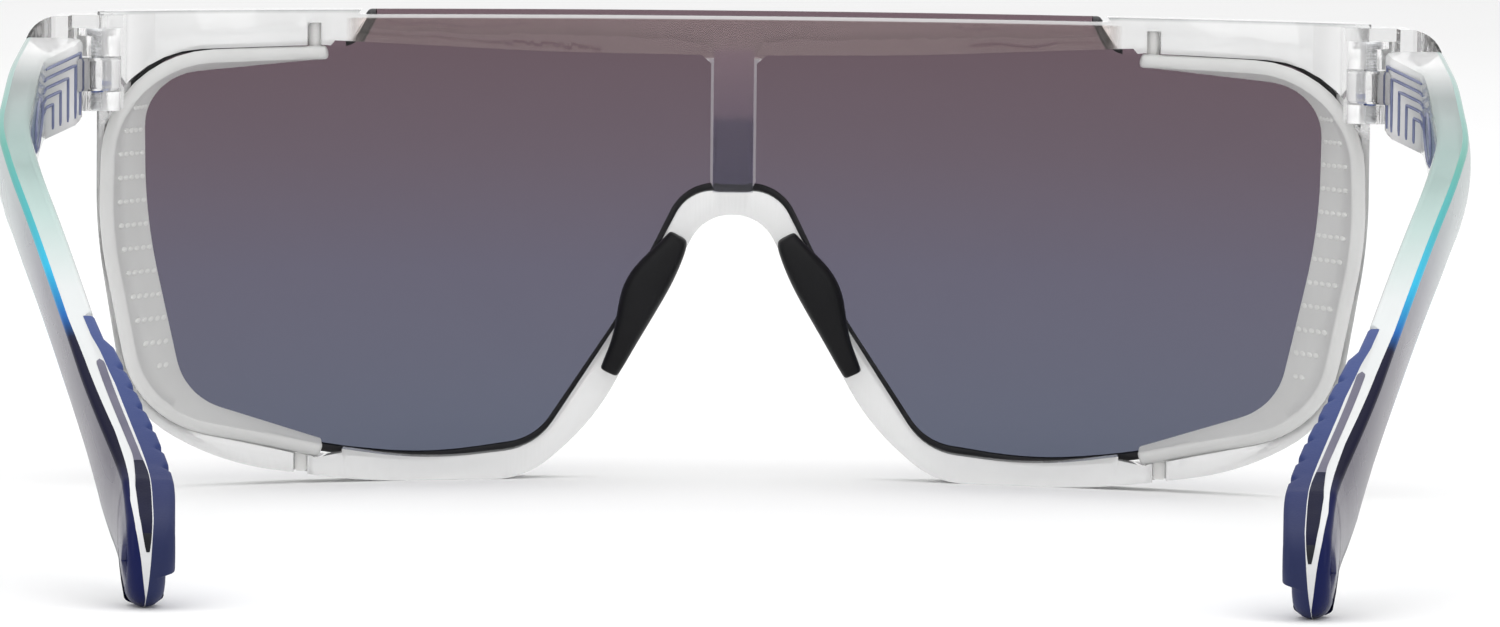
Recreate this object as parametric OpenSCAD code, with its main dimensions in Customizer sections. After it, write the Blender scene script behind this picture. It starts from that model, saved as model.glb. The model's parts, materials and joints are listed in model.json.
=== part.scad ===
// Wraparound sport sunglasses: one shield lens on a clear front frame, two clip-in
// side shields, two rubber nose pads, and two folding temples with rubber grips.
// Units are millimetres. +Y is forward, away from the face, and +Z is up.
// The glasses stand open on the table at z = 0, on the lower rim and both temple tips.

/* [Front] */
// Width across the two end pieces
front_w = 142.8; // [141.6:0.2:144]
// Height of the lens and frame
front_h = 49.3; // [48.8:0.1:50]
// Radius of the lens front, seen from above
lens_r = 95; // [93:0.5:100]
// Thickness of the lens
lens_t = 1.8; // [1.4:0.1:2.2]
// Depth of the frame from the lens front to its back
frame_t = 4.8; // [4.2:0.1:5.6]
// Width of the strut behind the middle of the lens
strut_w = 4.8; // [3.6:0.1:5]

/* [Side shields] */
// Thickness of the wall of a side shield
shield_t = 1.2; // [0.9:0.1:1.4]
// Distance from the lens apex back to the rear rim of a side shield
shield_reach = 33.5; // [31:0.5:34]
// Diameter of the peg that clips a side shield into the brow
peg_d = 1.3; // [1:0.1:1.6]

/* [Nose] */
// Depth of a nose pad behind the frame
pad_t = 4.6; // [3:0.1:6]

/* [Hinges] */
// Diameter of the hinge screw
screw_d = 1.4; // [1.2:0.1:1.6]
// Diameter of the hinge barrel
barrel_d = 4.6; // [4.2:0.1:5]
// Height of the temple's hinge tongue
tongue_h = 3.6; // [3:0.1:3.8]

/* [Temples] */
// Distance from the lens apex back to the temple tips
depth = 158; // [154:0.5:162]
// Thickness of a temple arm
arm_t = 3; // [2.6:0.1:3.4]
// Thickness of the coloured outer skin on an arm
skin_t = 0.6; // [0.4:0.05:0.8]
// Length of a rubber grip
grip_l = 36; // [30:1:40]
// Thickness of a rubber grip
grip_t = 2.9; // [2.4:0.1:3.2]
// Number of notches along a grip
notches = 6; // [3:1:8]

/* [Hidden] */
$fn = 64;

seat = 0.05;       // air between two pieces that are fixed together
play = 0.3;        // air between two pieces that move past each other
running = 0.05;    // radial clearance of the hinge screw
arc_steps = 8;     // segments in a rounded corner of an outline

apex_y = depth / 2;
lens_back_r = lens_r - lens_t;
frame_back_r = lens_r - frame_t;

end_reach = 7.1;   // from the hinge axis out to the end piece's outer face
hinge_x = front_w / 2 - end_reach;
hinge_d = 40;      // from the lens apex back to the hinge axis
butt_d = hinge_d + 1.5;
barrel_r = barrel_d / 2;
ear_low = 39.5;
tongue_z = 41.4;
ear_top = 47.8;
screw_head = [2.5, 0.8];   // diameter and height

brow_drop = 0.5;   // the brow bar's top lies this far below the lens top
end_top = front_h - 0.3;
peg_x = 43.6;
peg_top = 47.9;
tab_x = 44.7;
tab_size = [1.3, 2, 2.4];

tip_r = 4.3;
tip_d = depth - tip_r;
grip_d = depth - grip_l - 1;
grip_end_gap = 1.2;        // the grip stops this far short of its pocket's nominal end
notch_start = 10;          // from the grip's front end to the first notch
notch_end = 4;             // plain length behind the last notch
notch_w = 0.9;

// ---- helpers ----

function unit(v) = v / norm(v);
function turn(a) = a > 180 ? a - 360 : a < -180 ? a + 360 : a;

// Points of the arc of radius r that rounds the corner b between a and c.
function corner(a, b, c, r) =
    let (u = unit(a - b), v = unit(c - b),
         half = acos(u * v) / 2,
         centre = b + unit(u + v) * r / sin(half),
         from = b + u * r / tan(half) - centre,
         to = b + v * r / tan(half) - centre,
         start = atan2(from.y, from.x),
         sweep = turn(atan2(to.y, to.x) - start))
    [for (i = [0:arc_steps]) centre + r * [cos(start + sweep * i / arc_steps),
                                           sin(start + sweep * i / arc_steps)]];

// An open path through corners [x, z, radius]; radius 0 keeps a corner sharp.
function path(k) =
    [for (i = [0:len(k) - 1])
        let (p = [k[i][0], k[i][1]])
        each (k[i][2] == 0 ? [p]
              : corner([k[i - 1][0], k[i - 1][1]], p, [k[i + 1][0], k[i + 1][1]], k[i][2]))];

function mirrored(p) = [for (i = [len(p) - 1:-1:0]) [-p[i].x, p[i].y]];

// A value read from a table of [position, value] and smoothed over 10 mm.
function smooth(s, t) =
    (lookup(s - 5, t) + 2 * lookup(s - 2.5, t) + 2 * lookup(s, t)
     + 2 * lookup(s + 2.5, t) + lookup(s + 5, t)) / 8;

module on_side(left) mirror([left ? 1 : 0, 0, 0]) children();

// An outline in x and z, carried through the whole depth of the front.
module through_y(d0 = -1, d1 = 60)
    translate([0, apex_y - d0, 0]) rotate([90, 0, 0]) linear_extrude(d1 - d0) children();

// An outline in x and distance behind the apex, carried up from z0 to z1.
module up(z0, z1)
    translate([0, apex_y, z0]) mirror([0, 1, 0]) linear_extrude(z1 - z0) children();

// The curved sheet between two radii about the vertical axis of the lens.
module sheet(outer, inner)
    translate([0, apex_y - lens_r, -1]) difference() {
        cylinder(r = outer, h = front_h + 2, $fn = 180);
        translate([0, 0, -1]) cylinder(r = inner, h = front_h + 4, $fn = 180);
    }

// ---- outlines of the right half of the front, in x and z ----

lens_top_in = [[38.2, front_h, 0], [40.3, 46.3, 0], [63.1, 45.5, 8]];
lens_side = [[63.5, 28, 60], [60.2, 7.9, 7], [43.5, 2.9, 0]];
lens_bottom = [[32, 1.6, 40], [20.2, 3.2, 7], [11.5, 16.2, 25], [4.6, 30.2, 4.4], [0, 30.2, 0]];

rim_in = [[strut_w / 2 - 0.5, 30.4, 0], [4.7, 30.4, 4.4], [11.9, 16.5, 25], [20.5, 3.3, 7],
          [32, 2.1, 40], [43, 3.9, 0], [43, 4.6, 0], [56.5, 9.3, 7], [60.5, 28, 60],
          [60.7, 42.9, 5.5], [43, 44.3, 0], [41.5, 46.1, 0], [19, 44.9, 300],
          [strut_w / 2 + 1, 44.7, 0]];
rim_out = [[0, 27.9, 0], [3, 27.9, 4.7], [14.3, 6.2, 25], [21.5, 0, 9], [38, 0, 60],
           [52.5, 2.4, 26], [62, 8.4, 12], [64.9, 27, 60], [64.9, front_h, 0]];

shield_in = [[42.6, 44.1, 0], [60.6, 42.6, 5.5], [60.4, 28, 60], [56.5, 9.3, 7], [43.1, 4.5, 0]];
function shield_out(top_r) = [[43.1, 2.7, 0], [61, 7.2, 11], [64.6, 27, 40],
                              [64.2, 45, top_r], [42.6, 45.6, 0]];
shield_top_r = 11;      // upper rear corner of a side shield
shield_gap_r = 9.8;     // the frame's corner round it, which leaves the lens edge in view

pad_outline = [[4.8, 24.9, 0], [8.6, 15.9, 30], [12.2, 9.9, 1], [13.9, 11.2, 0.8],
               [11.9, 16.8, 4], [11.6, 20.6, 4], [6.9, 26.6, 0.9], [4.8, 26, 0]];

// Side shield wall seen from above: front edge at the lens, rear edge flared outward.
wall_front = [60.4, 21.3];
wall_rear = [64.8, shield_reach];

// Front edge, then rear edge, of a temple arm's outer face: [distance behind apex, x].
arm_outer = [[40, 71.4], [60, 71.7], [76, 71.2], [88, 68.8], [100, 65.9], [125, 60.1],
             [141, 56], [150, 53.6], [170, 51.2]];
arm_top = [[40, 47.2], [58, 44.4], [85, 37], [108, 28.7], [125, 22.3], [150, 11], [170, 6.5]];
arm_low = [[40, 39], [58, 36.2], [85, 28.8], [108, 20.4], [125, 13.8], [146, 3], [170, -5]];
arm_inner_gain = [[40, 3], [46, 2.6], [54, 0.2], [170, 0]];   // extra thickness at the hinge

function outer_x(s) = smooth(s, arm_outer) + front_w / 2 - arm_outer[0][1];
function inner_x(s) = outer_x(s) - arm_t - lookup(s, arm_inner_gain);
arm_stations = [for (s = [butt_d:(tip_d + tip_r - butt_d) / 36:depth + 0.01]) s];

// ---- front frame ----

module eye_opening() {
    polygon(concat(path(rim_in), [[strut_w / 2, 43.8], [strut_w / 2, 31.4]]));
}

// The whole front from behind: brow, strut, nose arch, rims.
module front_outline() difference() {
    polygon(concat(mirrored(path(rim_out)), path(rim_out)));
    for (left = [false, true]) mirror([left ? 1 : 0, 0]) eye_opening();
    polygon([[-39.2, front_h - brow_drop], [39.2, front_h - brow_drop],
             [38.2, front_h + 1], [-38.2, front_h + 1]]);
}

module lens_outline(grow = 0) {
    half = path(concat([[0, front_h, 0]], lens_top_in, lens_side, lens_bottom));
    wide = [for (p = half) [p.x + (p.x > 41 ? grow : 0), p.y + (p.y > 46 ? 2 * grow : 0)]];
    polygon(concat(wide, mirrored(wide)));
}

// Everything a side shield fills behind the lens, with clearance outside it.
module shield_zone() intersection() {
    through_y() polygon([for (p = concat(path(shield_out(shield_gap_r)), [[30, 44], [30, 5]]))
                         p.y > 25 ? [p.x, p.y + seat] : [p.x, p.y - seat]]);
    up(1, 46) polygon([[40.5, 8], [wall_front.x + seat, wall_front.y - 6],
                       wall_front + [seat, 0], wall_rear + [seat, 0], [40.5, wall_rear.y + 9]]);
    sheet(lens_back_r + 0.2, lens_r / 3);
}

module end_piece_plan() {
    outer = hinge_x + end_reach;
    polygon(path([[60.2, 22.6, 0], [64.2, 25.1, 0], [outer - 0.6, 31, 6], [outer, 36, 20],
                  [outer, hinge_d + 1.2, 0], [hinge_x + barrel_r + 0.6, hinge_d + 1.2, 0],
                  [hinge_x + barrel_r, hinge_d, 0], [hinge_x - barrel_r, hinge_d, 0],
                  [hinge_x - barrel_r, 31, 3], [59.4, 27.2, 0]]));
    translate([hinge_x, hinge_d]) circle(barrel_r);
}

module end_piece() difference() {
    intersection() {
        up(ear_low, front_h) end_piece_plan();
        through_y() polygon(path([[40, ear_low - 1, 0], [hinge_x + 4.5, ear_low - 1, 0],
                                  [hinge_x + 7.3, ear_low + 1.5, 3],
                                  [hinge_x + 7.3, end_top, 3.4], [40, end_top, 0]]));
    }
    // slot for the hinge tongue
    up(tongue_z, tongue_z + tongue_h) {
        translate([hinge_x, hinge_d]) circle(barrel_r + play);
        translate([hinge_x - 9, hinge_d]) square([9 + barrel_r + play, 9]);
    }
    // room above the upper ear
    up(ear_top, front_h + 1) polygon([[hinge_x - 9, 36], [hinge_x + barrel_r + 0.6, 36],
                                      [hinge_x + barrel_r + 0.6, 50], [hinge_x - 9, 50]]);
    up(0, front_h + 1) translate([hinge_x, hinge_d]) circle(screw_d / 2 + running);
    up(ear_top - screw_head.y, front_h) translate([hinge_x, hinge_d])
        circle(screw_head.x / 2 + running);
}

module front_frame() color("whitesmoke", 0.5) difference() {
    union() {
        intersection() {
            sheet(lens_r, frame_back_r);
            through_y() front_outline();
        }
        for (left = [false, true]) on_side(left) end_piece();
    }
    intersection() {
        sheet(lens_r + 5, lens_back_r - seat);
        through_y() lens_outline(seat);
    }
    for (left = [false, true]) on_side(left) {
        shield_zone();
        // groove for the peg, open at the back
        translate([peg_x, shield_peg_y(), 40])
            cylinder(d = peg_d + 2 * seat, h = peg_top - 40 + seat);
        translate([peg_x - peg_d / 2 - seat, shield_peg_y() - frame_t, 44])
            cube([peg_d + 2 * seat, frame_t, peg_top - 44 + seat]);
        translate([tab_x - tab_size.x / 2 - seat, shield_peg_y() - 4, -1])
            cube([tab_size.x + 2 * seat, 4.8, 6]);
    }
}

function shield_peg_y() = apex_y - lens_r + sqrt(pow(lens_back_r - 1.4, 2) - pow(peg_x, 2));

// ---- lens, side shields and nose pads ----

module lens() color("slateblue", 0.6) intersection() {
    sheet(lens_r, lens_back_r);
    through_y() lens_outline();
}

module side_shield(left) color("gainsboro", 0.8) on_side(left) {
    ring = concat(path(shield_in), path(shield_out(shield_top_r)));
    intersection() {
        through_y() polygon(ring);
        sheet(lens_back_r - seat, lens_r / 3);
        union() {
            up(0, front_h) polygon([wall_front - [shield_t, 0], wall_front - [shield_t, 6],
                                    wall_front - [0, 6], wall_front, wall_rear,
                                    wall_rear - [shield_t, 0]]);
            for (z = [0, 39.8]) up(z, z + 10.5)
                polygon([[41, 8], wall_front - [0, 6], wall_front, wall_rear,
                         wall_rear - [4.5, 1.2], [56, 24.5], [41, 15.4]]);
        }
    }
    translate([peg_x, shield_peg_y(), 44.3]) cylinder(d = peg_d, h = peg_top - 44.3);
    translate([tab_x - tab_size.x / 2, shield_peg_y() - 1.5, 1.2]) cube(tab_size);
}

module nose_pad(left) color("dimgray") on_side(left) intersection() {
    sheet(frame_back_r - seat, frame_back_r - pad_t);
    through_y() polygon(path(pad_outline));
}

// ---- hinges and temples ----

module hinge_screw(left) color("steelblue") on_side(left) translate([hinge_x, apex_y - hinge_d, 0]) {
    translate([0, 0, ear_low + 0.2]) cylinder(d = screw_d, h = ear_top - ear_low - 0.6);
    translate([0, 0, ear_top - screw_head.y]) cylinder(d = screw_head.x, h = screw_head.y - 0.1);
}

// Side view of an arm: distance behind the apex against z, ending in the round tip.
module arm_side() {
    s = [for (q = arm_stations) if (q < tip_d) q];
    polygon(concat([for (q = s) [q, smooth(q, arm_top)]],
                   [for (a = [60:-10:-90]) [tip_d + tip_r * cos(a), tip_r + tip_r * sin(a)]],
                   [for (i = [len(s) - 1:-1:0]) [s[i], max(0, smooth(s[i], arm_low))]]));
}

module arm_solid(from, to, low = -1) intersection() {
    up(-1, front_h) children();
    translate([-1, apex_y, 0]) rotate([90, 0, 90]) mirror([1, 0, 0]) linear_extrude(90)
        intersection() {
            arm_side();
            translate([from, low]) square([to - from, 60]);
        }
}

// Plan of a layer of an arm: from a gap inside the outer face, to a thickness below that
// face. A thickness of 0 reaches the arm's inner face.
module band(outer_gap, thick = 0) {
    polygon(concat([for (s = arm_stations) [outer_x(s) - outer_gap, s]],
                   [for (i = [len(arm_stations) - 1:-1:0])
                    let (s = arm_stations[i]) [thick > 0 ? outer_x(s) - thick : inner_x(s), s]]));
}

module temple(left) color("paleturquoise", 0.6) on_side(left) difference() {
    union() {
        difference() {
            arm_solid(butt_d, depth) band(skin_t + seat);
            // clearance round the frame's hinge ears
            up(-1, front_h) translate([hinge_x, hinge_d]) circle(barrel_r + play);
            // pocket for the rubber grip
            grip_pocket();
        }
        up(tongue_z + play / 2, tongue_z + tongue_h - play / 2) {
            translate([hinge_x, hinge_d]) circle(barrel_r);
            polygon([[hinge_x - 0.6, hinge_d], [hinge_x + barrel_r, hinge_d],
                     [hinge_x + barrel_r + 1.2, butt_d + 2.5], [hinge_x + 1.3, butt_d + 3.5]]);
        }
    }
    up(0, front_h) translate([hinge_x, hinge_d]) circle(screw_d / 2 + running);
}

function grip_back_x(s) = inner_x(s) + arm_t / 2 - 0.2;
function grip_swell(s) = min(1, (s - grip_d + 3) / 9);

// Plan of a grip: flat at the back, in the arm, and swelling inward from its front end.
module grip_plan(gap) {
    s = [for (q = arm_stations) if (q > grip_d - 3) q];
    polygon(concat([for (q = s) [grip_back_x(q) + gap, q]],
                   [for (i = [len(s) - 1:-1:0])
                    let (q = s[i]) [grip_back_x(q) - grip_t * grip_swell(q), q]]));
}

module grip_pocket() up(-1, front_h) intersection() {
    grip_plan(seat);
    translate([0, grip_d]) square([90, grip_l - grip_end_gap]);
}

module temple_grip(left) color("midnightblue") on_side(left) difference() {
    arm_solid(grip_d + seat, grip_d + grip_l - grip_end_gap - seat) grip_plan(0);
    for (i = [0:notches - 1]) {
        s = grip_d + notch_start + i * (grip_l - notch_start - notch_end) / notches;
        translate([grip_back_x(s) - grip_t, apex_y - s, -1])
            rotate([0, 0, 45]) cube([notch_w, notch_w, 2 * front_h], center = true);
    }
}

module temple_skin(left) color("teal") on_side(left)
    arm_solid(butt_d, depth) band(0, skin_t);

front_frame();
lens();
side_shield(true);  // side_shield_left
side_shield(false);  // side_shield_right
nose_pad(true);  // nose_pad_left
nose_pad(false);  // nose_pad_right
hinge_screw(true);  // hinge_screw_left
hinge_screw(false);  // hinge_screw_right
temple(true);  // temple_left
temple(false);  // temple_right
temple_skin(true);  // temple_skin_left
temple_skin(false);  // temple_skin_right
temple_grip(true);  // temple_grip_left
temple_grip(false);  // temple_grip_right
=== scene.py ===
"""Wraparound sport sunglasses: the looks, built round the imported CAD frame.

Lengths in this script are millimetres until the last step of each builder, which
turns them into metres. The floor and the lights are placed in metres. d is the distance
behind the lens apex, x is to the wearer's right and z is up, as in the CAD model.
"""
import json
import math

import bmesh
import bpy
from mathutils import Matrix, Vector


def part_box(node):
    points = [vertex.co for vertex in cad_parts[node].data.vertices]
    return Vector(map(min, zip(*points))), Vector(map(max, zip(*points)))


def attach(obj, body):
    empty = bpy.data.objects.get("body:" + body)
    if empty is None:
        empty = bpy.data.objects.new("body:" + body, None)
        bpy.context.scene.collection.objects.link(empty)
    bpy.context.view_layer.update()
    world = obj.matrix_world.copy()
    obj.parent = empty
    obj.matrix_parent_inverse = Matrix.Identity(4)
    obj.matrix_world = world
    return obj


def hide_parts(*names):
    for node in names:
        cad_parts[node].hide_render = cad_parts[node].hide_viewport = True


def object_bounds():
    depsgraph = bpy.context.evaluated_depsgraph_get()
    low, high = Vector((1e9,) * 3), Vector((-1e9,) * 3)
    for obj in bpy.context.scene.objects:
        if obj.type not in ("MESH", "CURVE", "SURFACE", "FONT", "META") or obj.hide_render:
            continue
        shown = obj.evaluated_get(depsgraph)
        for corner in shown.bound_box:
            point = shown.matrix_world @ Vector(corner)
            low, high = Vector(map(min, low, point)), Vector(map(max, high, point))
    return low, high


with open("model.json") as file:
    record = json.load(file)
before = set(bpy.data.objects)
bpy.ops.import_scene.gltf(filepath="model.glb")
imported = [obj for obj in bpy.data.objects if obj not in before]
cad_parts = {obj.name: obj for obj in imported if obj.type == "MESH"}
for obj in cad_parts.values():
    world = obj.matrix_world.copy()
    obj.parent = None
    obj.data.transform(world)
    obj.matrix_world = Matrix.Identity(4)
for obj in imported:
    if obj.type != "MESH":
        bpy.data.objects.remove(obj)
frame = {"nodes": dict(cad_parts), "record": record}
cad_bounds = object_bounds()

MM = 0.001
APEX_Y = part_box("lens")[1][1] / MM
LENS_R = 95.0         # front face of the lens, seen from above
LENS_T = 1.8          # thickness of the lens
LENS_BACK_R = LENS_R - LENS_T
FRONT_H = cad_bounds[1][2] / MM
TIP_D = APEX_Y - cad_bounds[0][1] / MM
HINGE = {j["child"]: [v / MM for v in j["pos_m"]] for j in frame["record"]["behaviour"]["joints"]}
HINGE_X = HINGE["right_temple"][0]
HINGE_D = APEX_Y - HINGE["right_temple"][1]
SIDES = {"left": -1, "right": 1}
GRIP_D = 121.0        # front end of a rubber grip
STRUT_HALF = 2.4      # half width of the middle strut
SCREW_Z = (39.5, 47.8)  # heights that the colours of a screw run between
WELD_GAP = 1e-4       # points closer than this are one point
SHARP = math.radians(40)  # edges that turn more than this are shaded as sharp


# ---------------------------------------------------------------- curves

SMOOTH_REACH = 5.0


def lookup(s, table):
    """Straight-line value at s in a table of (position, value)."""
    if s <= table[0][0]:
        return table[0][1]
    for (a, va), (b, vb) in zip(table, table[1:]):
        if s <= b:
            return va + (vb - va) * (s - a) / (b - a)
    return table[-1][1]


def smooth(s, table):
    """The same table, averaged over SMOOTH_REACH either way."""
    weights = ((-1, 1), (-0.5, 2), (0, 2), (0.5, 2), (1, 1))
    return sum(w * lookup(s + k * SMOOTH_REACH, table) for k, w in weights) / 8


def ease(t):
    """0 to 1 with flat ends."""
    t = min(1.0, max(0.0, t))
    return t * t * (3 - 2 * t)


def rounded(corners, steps):
    """An open path through (x, z, radius) corners, with that many steps to an arc."""
    out = []
    for i, (x, z, r) in enumerate(corners):
        if r == 0:
            out.append((x, z))
            continue
        b = Vector((x, z))
        u = (Vector(corners[i - 1][:2]) - b).normalized()
        v = (Vector(corners[i + 1][:2]) - b).normalized()
        half = math.acos(max(-1, min(1, u.dot(v)))) / 2
        centre = b + (u + v).normalized() * r / math.sin(half)
        first = b + u * r / math.tan(half) - centre
        last = b + v * r / math.tan(half) - centre
        start = math.atan2(first.y, first.x)
        sweep = math.remainder(math.atan2(last.y, last.x) - start, 2 * math.pi)
        for k in range(steps + 1):
            a = start + sweep * k / steps
            out.append((centre.x + r * math.cos(a), centre.y + r * math.sin(a)))
    return out


def resample(points, count):
    """count points at even spacing along a path."""
    pts = [Vector(p) for p in points]
    run = [0.0]
    for a, b in zip(pts, pts[1:]):
        run.append(run[-1] + (b - a).length)
    out = []
    j = 0
    for i in range(count):
        s = run[-1] * i / (count - 1)
        while j < len(run) - 2 and run[j + 1] < s:
            j += 1
        gap = run[j + 1] - run[j]
        out.append(pts[j].lerp(pts[j + 1], (s - run[j]) / gap if gap else 0))
    return out


def lens_d(x, radius):
    """Distance behind the apex, at x, of a sheet of that radius about the lens axis."""
    return LENS_R - math.sqrt(radius * radius - x * x)


# ---------------------------------------------------------------- mesh builders

def finish_mesh(bm, name, body, materials, level=0):
    """Writes a bmesh in (x, y, z) millimetres as a piece that rides on a body."""
    bmesh.ops.remove_doubles(bm, verts=bm.verts, dist=WELD_GAP)
    bmesh.ops.recalc_face_normals(bm, faces=bm.faces)
    bmesh.ops.scale(bm, vec=(MM, MM, MM), verts=bm.verts)
    for f in bm.faces:
        f.smooth = True
    for e in bm.edges:
        e.smooth = e.is_manifold and e.calc_face_angle(0) < SHARP
    mesh = bpy.data.meshes.new(name)
    bm.to_mesh(mesh)
    bm.free()
    obj = bpy.data.objects.new(name, mesh)
    bpy.context.scene.collection.objects.link(obj)
    for m in materials:
        mesh.materials.append(m)
    if level:
        sub = obj.modifiers.new("subdivision", "SUBSURF")
        sub.levels = sub.render_levels = level
    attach(obj, body)
    return obj


def add_loft(bm, sections, material=0):
    """Joins rings of (x, d, z) points, each with the same number of points, and closes the ends."""
    rings = [[bm.verts.new((x, APEX_Y - d, z)) for x, d, z in s] for s in sections]
    for a, b in zip(rings, rings[1:]):
        for i in range(len(a)):
            j = (i + 1) % len(a)
            bm.faces.new((a[i], a[j], b[j], b[i])).material_index = material
    for ring in (rings[0], rings[-1]):
        hub = bm.verts.new(sum((v.co for v in ring), Vector()) / len(ring))
        for i in range(len(ring)):
            bm.faces.new((ring[i], ring[(i + 1) % len(ring)], hub)).material_index = material


def box_ring(x0, x1, z0, z1, r, steps=4):
    """A rectangle in x and z with rounded corners."""
    ring = []
    for cx, cz, turn in ((x1 - r, z1 - r, 0), (x0 + r, z1 - r, 90),
                         (x0 + r, z0 + r, 180), (x1 - r, z0 + r, 270)):
        for k in range(steps + 1):
            a = math.radians(turn + 90 * k / steps)
            ring.append((cx + r * math.cos(a), cz + r * math.sin(a)))
    return ring


def add_lathe(bm, centre, profile, steps=28, material=0):
    """Turns (radius, z) points about a vertical line through centre = (x, d)."""
    cx, cd = centre
    rings = []
    for r, z in profile:
        rings.append([(cx + r * math.cos(2 * math.pi * i / steps),
                       cd + r * math.sin(2 * math.pi * i / steps), z) for i in range(steps)])
    add_loft(bm, rings, material)


def moulding(outline, radius_back, radius_front, edge, step=1.5):
    """A bmesh of a plate with rounded edges, bent to the curve of the lens.

    Its two faces have material 0 and its edges material 1.
    """
    thick = radius_front - radius_back
    curve = bpy.data.curves.new("outline", "CURVE")
    curve.dimensions = "2D"
    curve.fill_mode = "BOTH"
    curve.extrude = thick / 2 - edge
    curve.bevel_depth = edge
    curve.bevel_resolution = 2
    curve.offset = -edge
    spline = curve.splines.new("POLY")
    spline.points.add(len(outline) - 1)
    for p, (x, z) in zip(spline.points, outline):
        p.co = (x, z, 0, 1)
    spline.use_cyclic_u = True
    obj = bpy.data.objects.new("outline", curve)
    bpy.context.scene.collection.objects.link(obj)
    mesh = bpy.data.meshes.new_from_object(obj.evaluated_get(bpy.context.evaluated_depsgraph_get()))
    bpy.data.objects.remove(obj)
    bpy.data.curves.remove(curve)
    bm = bmesh.new()
    bm.from_mesh(mesh)
    bpy.data.meshes.remove(mesh)
    bmesh.ops.remove_doubles(bm, verts=bm.verts, dist=WELD_GAP)
    reach = max(abs(x) for x, _ in outline)
    x = -step * int(reach / step)
    while x < reach:
        bmesh.ops.bisect_plane(bm, geom=bm.verts[:] + bm.edges[:] + bm.faces[:],
                               plane_co=(x, 0, 0), plane_no=(1, 0, 0))
        x += step
    flat = thick / 2 - edge * 0.05
    for f in bm.faces:
        f.material_index = 0 if all(abs(v.co.z) > flat for v in f.verts) else 1
    middle = (radius_back + radius_front) / 2
    for v in bm.verts:
        u, z, w = v.co
        v.co = (u, APEX_Y - lens_d(u, middle + w), z)
    return bm


# ---------------------------------------------------------------- materials

class Nodes:
    """A short way to wire a node material."""

    def __init__(self, name):
        self.mat = bpy.data.materials.new(name)
        self.mat.use_nodes = True
        self.tree = self.mat.node_tree
        self.shader = self.tree.nodes["Principled BSDF"]

    def add(self, kind, **values):
        node = self.tree.nodes.new(kind)
        for key, value in values.items():
            if key in node.inputs:
                node.inputs[key].default_value = value
            else:
                setattr(node, key, value)
        return node

    def link(self, a, b):
        self.tree.links.new(a, b)

    def set(self, **values):
        for key, value in values.items():
            self.shader.inputs[key.replace("_", " ")].default_value = value

    def place(self):
        return self.add("ShaderNodeTexCoord").outputs["Object"]

    def along(self, axis, low, high):
        """0 to 1 between two places on an axis, in metres."""
        split = self.add("ShaderNodeSeparateXYZ")
        self.link(self.place(), split.inputs[0])
        span = self.add("ShaderNodeMapRange")
        span.inputs["From Min"].default_value = low
        span.inputs["From Max"].default_value = high
        self.link(split.outputs[axis], span.inputs["Value"])
        return span.outputs[0]

    def from_tip(self, d):
        """0 at the tip of an arm to 1 at d."""
        return self.along("Y", (APEX_Y - TIP_D) * MM, (APEX_Y - d) * MM)

    def ramp(self, factor, stops):
        ramp = self.add("ShaderNodeValToRGB")
        elements = ramp.color_ramp.elements
        while len(elements) < len(stops):
            elements.new(0.5)
        for e, (at, colour) in zip(elements, stops):
            e.position = at
            e.color = (*colour, 1)
        self.link(factor, ramp.inputs[0])
        return ramp.outputs[0]

    def noise(self, scale, detail=3.0):
        tex = self.add("ShaderNodeTexNoise", Scale=scale, Detail=detail)
        self.link(self.place(), tex.inputs["Vector"])
        return tex.outputs[0]

    def vary_roughness(self, scale, low, high):
        span = self.add("ShaderNodeMapRange")
        span.inputs["To Min"].default_value = low
        span.inputs["To Max"].default_value = high
        self.link(self.noise(scale), span.inputs["Value"])
        self.link(span.outputs[0], self.shader.inputs["Roughness"])

    def bump(self, height, strength, distance):
        node = self.add("ShaderNodeBump", Strength=strength, Distance=distance)
        self.link(height, node.inputs["Height"])
        self.link(node.outputs[0], self.shader.inputs["Normal"])

    def tint(self, colour, other, scale):
        """A colour that wanders slightly towards another."""
        mix = self.ramp(self.noise(scale), [(0.3, colour), (0.7, other)])
        self.link(mix, self.shader.inputs["Base Color"])


def linear(r, g, b):
    """Linear colour of an 8-bit screen colour."""
    def one(c):
        c /= 255
        return c / 12.92 if c <= 0.04045 else ((c + 0.055) / 1.055) ** 2.4
    return (one(r), one(g), one(b))


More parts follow.
